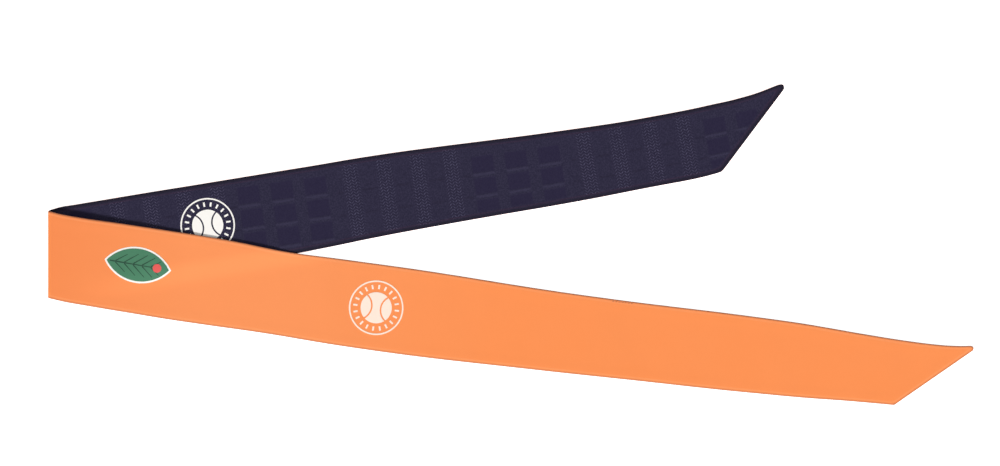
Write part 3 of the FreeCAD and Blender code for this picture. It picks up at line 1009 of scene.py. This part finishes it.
def leaf_outline(length, width, inset=0.0, count=40):
    """A pointed leaf: two arcs between its ends, drawn in by inset."""
    half_long, half_wide = length / 2, width / 2
    radius = (half_long**2 + half_wide**2) / (2 * half_wide)
    lower = radius - half_wide
    reach = math.acos(lower / (radius - inset))
    angle = np.linspace(-reach, reach, count)
    x = (radius - inset) * np.sin(angle)
    y = (radius - inset) * np.cos(angle) - lower
    return np.concatenate([vectors(x, y), vectors(x, -y)[-2:0:-1]])


EMBLEM = {"length": 45.0, "width": 24.0, "keyline": 1.2, "vein": 0.7, "vein_pairs": 5,
          "first_vein": -15.0, "vein_pitch": 6.0, "vein_reach": 0.62}
BERRY = {"radius": 2.9, "station": 13.0, "gap": 0.7}
BADGE = {"radius": 18.2, "line": 1.0, "disc": 10.4, "seam": 9.6, "offset": 12.6, "ticks": 20,
         "tick_start": 12.5, "tick_length": 2.9, "tick_width": 1.2}
# distances along each leg from the end of the fold, which lies this far inside the fold line
FOLD_INSET = 2.5
EMBLEM_AT = (60.6 - FOLD_INSET, 3.0)
OUTER_BADGE_AT = (221.9 - FOLD_INSET, 0.0)
INNER_BADGE_AT = (108.4 - FOLD_INSET, 0.5)
CLOSING_AT = 385.0 - FOLD_INSET


def bar(start, end, width):
    """Outline of a bar that narrows to its end."""
    start, end = np.array(start, float), np.array(end, float)
    along = unit(end - start)
    side = np.array([-along[1], along[0]]) * width / 2
    return np.array([start - side, end - 0.5 * side, end + 0.5 * side, start + side])


def build_emblem():
    size = (EMBLEM["length"], EMBLEM["width"])
    keyline = EMBLEM["keyline"]
    berry = circle(BERRY["radius"], BERRY["station"], 0.0, 40)
    half_long, half_wide = size[0] / 2, size[1] / 2
    stem_end = BERRY["station"] - BERRY["radius"] - BERRY["gap"]
    stem = bar((3 * keyline - half_long, 0), (stem_end, 0), EMBLEM["vein"] * 1.2)
    shapes = [flat_shape(stem, step=0.9)]
    for number in range(EMBLEM["vein_pairs"]):
        root = EMBLEM["first_vein"] + EMBLEM["vein_pitch"] * number
        room = EMBLEM["vein_reach"] * half_wide * (1 - ((root + 5) / half_long) ** 2)
        for side in (-1, 1):
            tip = (root + 0.95 * room + 1.5, side * room)
            shapes.append(flat_shape(bar((root, side * 0.5), tip, EMBLEM["vein"]), step=0.9))
    films = {
        "ground": ([flat_shape(leaf_outline(*size))], 0, "white"),
        "leaf": ([flat_shape(leaf_outline(*size, keyline))], 1, "green"),
        "veins": (shapes, 2, "dark_green"),
        "berry": ([flat_shape(berry, step=1.0)], 2, "coral"),
    }
    for part, (shapes, layer, tone) in films.items():
        piece = film(f"emblem_{part}_film", "near", "outer", EMBLEM_AT, shapes,
                     layer * PRINT_THICKNESS, MATERIALS[tone])
        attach(piece, "front")
        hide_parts(f"emblem_{part}")


def ball_shapes():
    """A disc cut by two curved seams, like a ball's: its middle and its two sides."""
    disc, seam, offset = BADGE["disc"], BADGE["seam"], BADGE["offset"]
    half_line = BADGE["line"] / 2

    def crossing(radius):
        x = (disc**2 - radius**2 + offset**2) / (2 * offset)
        return x, math.sqrt(disc**2 - x**2)

    def arc(radius, low, high, count, centre=0.0):
        angle = np.linspace(low, high, count)
        return vectors(centre + radius * np.cos(angle), radius * np.sin(angle))

    x, y = crossing(seam + half_line)
    rim = math.atan2(y, x)
    curve = math.atan2(y, offset - x)
    right = arc(seam + half_line, math.pi + curve, math.pi - curve, 24, offset)
    top = arc(disc, rim, math.pi - rim, 24)
    left = right[::-1] * [-1, 1]
    middle = np.concatenate([right, top[1:-1], left, top[1:-1][::-1] * [1, -1]])
    shapes = [flat_shape(middle)]
    x, y = crossing(seam - half_line)
    rim = math.atan2(y, x)
    curve = math.atan2(y, offset - x)
    side = np.concatenate([
        arc(disc, -rim, rim, 20),
        arc(seam - half_line, math.pi - curve, math.pi + curve, 20, offset)[1:-1],
    ])
    return [*shapes, flat_shape(side), flat_shape(side * [-1, 1])]


def build_badge(kind, side, centre, body, tone):
    """Ring, ticks and ball of a round badge."""
    ring = flat_shape(circle(BADGE["radius"]), circle(BADGE["radius"] - BADGE["line"]))
    ticks = []
    for number in range(BADGE["ticks"]):
        angle = 2 * math.pi * number / BADGE["ticks"]
        direction = np.array([math.cos(angle), math.sin(angle)])
        start = direction * BADGE["tick_start"]
        end = direction * (BADGE["tick_start"] + BADGE["tick_length"])
        across = np.array([-direction[1], direction[0]]) * BADGE["tick_width"] / 2
        tick = np.array([start - across, end - across, end + across, start + across])
        ticks.append(flat_shape(tick, step=1.0))
    parts = {"ring": [ring], "ticks": ticks, "ball": ball_shapes()}
    for part, shapes in parts.items():
        piece = film(f"{kind}_badge_{part}_film", side, kind, centre, shapes, 0.0,
                     MATERIALS[tone])
        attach(piece, body)
        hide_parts(f"{kind}_badge_{part}")


CLOSING = {"count": 7, "pitch": 2.1, "length": 1.4, "inset": 1.5, "radius": 0.13, "hump": 0.1}


def build_closing_stitches():
    """Small slip stitches where the strip was turned right side out and closed by hand."""
    paths = []
    along = np.linspace(0, 1, 7)
    for number in range(CLOSING["count"]):
        place = (number - CLOSING["count"] / 2) * CLOSING["pitch"]
        s = CLOSING_AT + place + 0.25 * math.sin(3.1 * number)
        x = s + CLOSING["length"] * along
        sway = 0.12 * math.sin(5.3 * number)
        y = LEGS["near"].edges(x, 0.0)[1] - CLOSING["inset"] + sway + 0.25 * along
        hump = CLOSING["hump"] * np.sin(math.pi * along) - 0.04
        paths.append(on_cloth("near", "outer", x, y, hump))
    piece = tubes("closing_stitches_thread", paths, CLOSING["radius"], MATERIALS["hand_stitch"])
    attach(piece, "near_strap")
    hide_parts("closing_stitches")


# ------------------------------------------------------------------ stage, light and camera


def build_stage():
    """A pale table of backlit acrylic, which keeps its shadows light."""
    mesh = bpy.data.meshes.new("floor")
    half, top = 60.0, -0.0003
    corners = [(-half, -half, top), (half, -half, top), (half, half, top), (-half, half, top)]
    mesh.from_pydata(corners, [], [(0, 1, 2, 3)])
    floor = add_object("floor", mesh)
    n = Nodes("floor", Roughness=0.9, Specular_IOR_Level=0.1, Emission_Strength=0.85)
    n.set("Base Color", (0.9, 0.9, 0.9, 1))
    n.set("Emission Color", (1, 1, 1, 1))
    mesh.materials.append(n.material)


def soft_sun(name, place, angle, strength):
    """An even light from far away, as wide as angle in degrees."""
    data = bpy.data.lights.new(name, "SUN")
    data.angle = math.radians(angle)
    data.energy = strength
    light = add_object(name, data)
    light.location = place
    light.rotation_euler = (-Vector(place)).to_track_quat("-Z", "Y").to_euler()


WORLD_LIGHT = 0.26


def build_light():
    world = bpy.data.worlds.new("studio")
    world.use_nodes = True
    world.node_tree.nodes["Background"].inputs["Color"].default_value = (1, 1, 1, 1)
    world.node_tree.nodes["Background"].inputs["Strength"].default_value = WORLD_LIGHT
    bpy.context.scene.world = world
    soft_sun("key", (-0.4, -2.2, 1.6), 12, 3.6)
    soft_sun("fill", (0.8, 0.4, 2.6), 50, 0.5)


CAMERA_HEIGHT = 4.0
VIEW_WIDTH = 0.6667         # of the table across the picture
CAMERA_AIM = (-0.0065, 0.0085)


def build_camera():
    data = bpy.data.cameras.new("camera")
    data.sensor_width = 36
    data.lens = data.sensor_width * CAMERA_HEIGHT / VIEW_WIDTH
    data.clip_end = 50
    camera = add_object("camera", data)
    camera.location = (*CAMERA_AIM, CAMERA_HEIGHT)
    bpy.context.scene.camera = camera


build_stage()
build_light()
build_camera()
bpy.context.scene.view_settings.view_transform = "Standard"
build_cloth()
build_emblem()
build_badge("outer", "near", OUTER_BADGE_AT, "near_side", "cream")
build_badge("inner", "far", INNER_BADGE_AT, "far_side", "white")
build_closing_stitches()
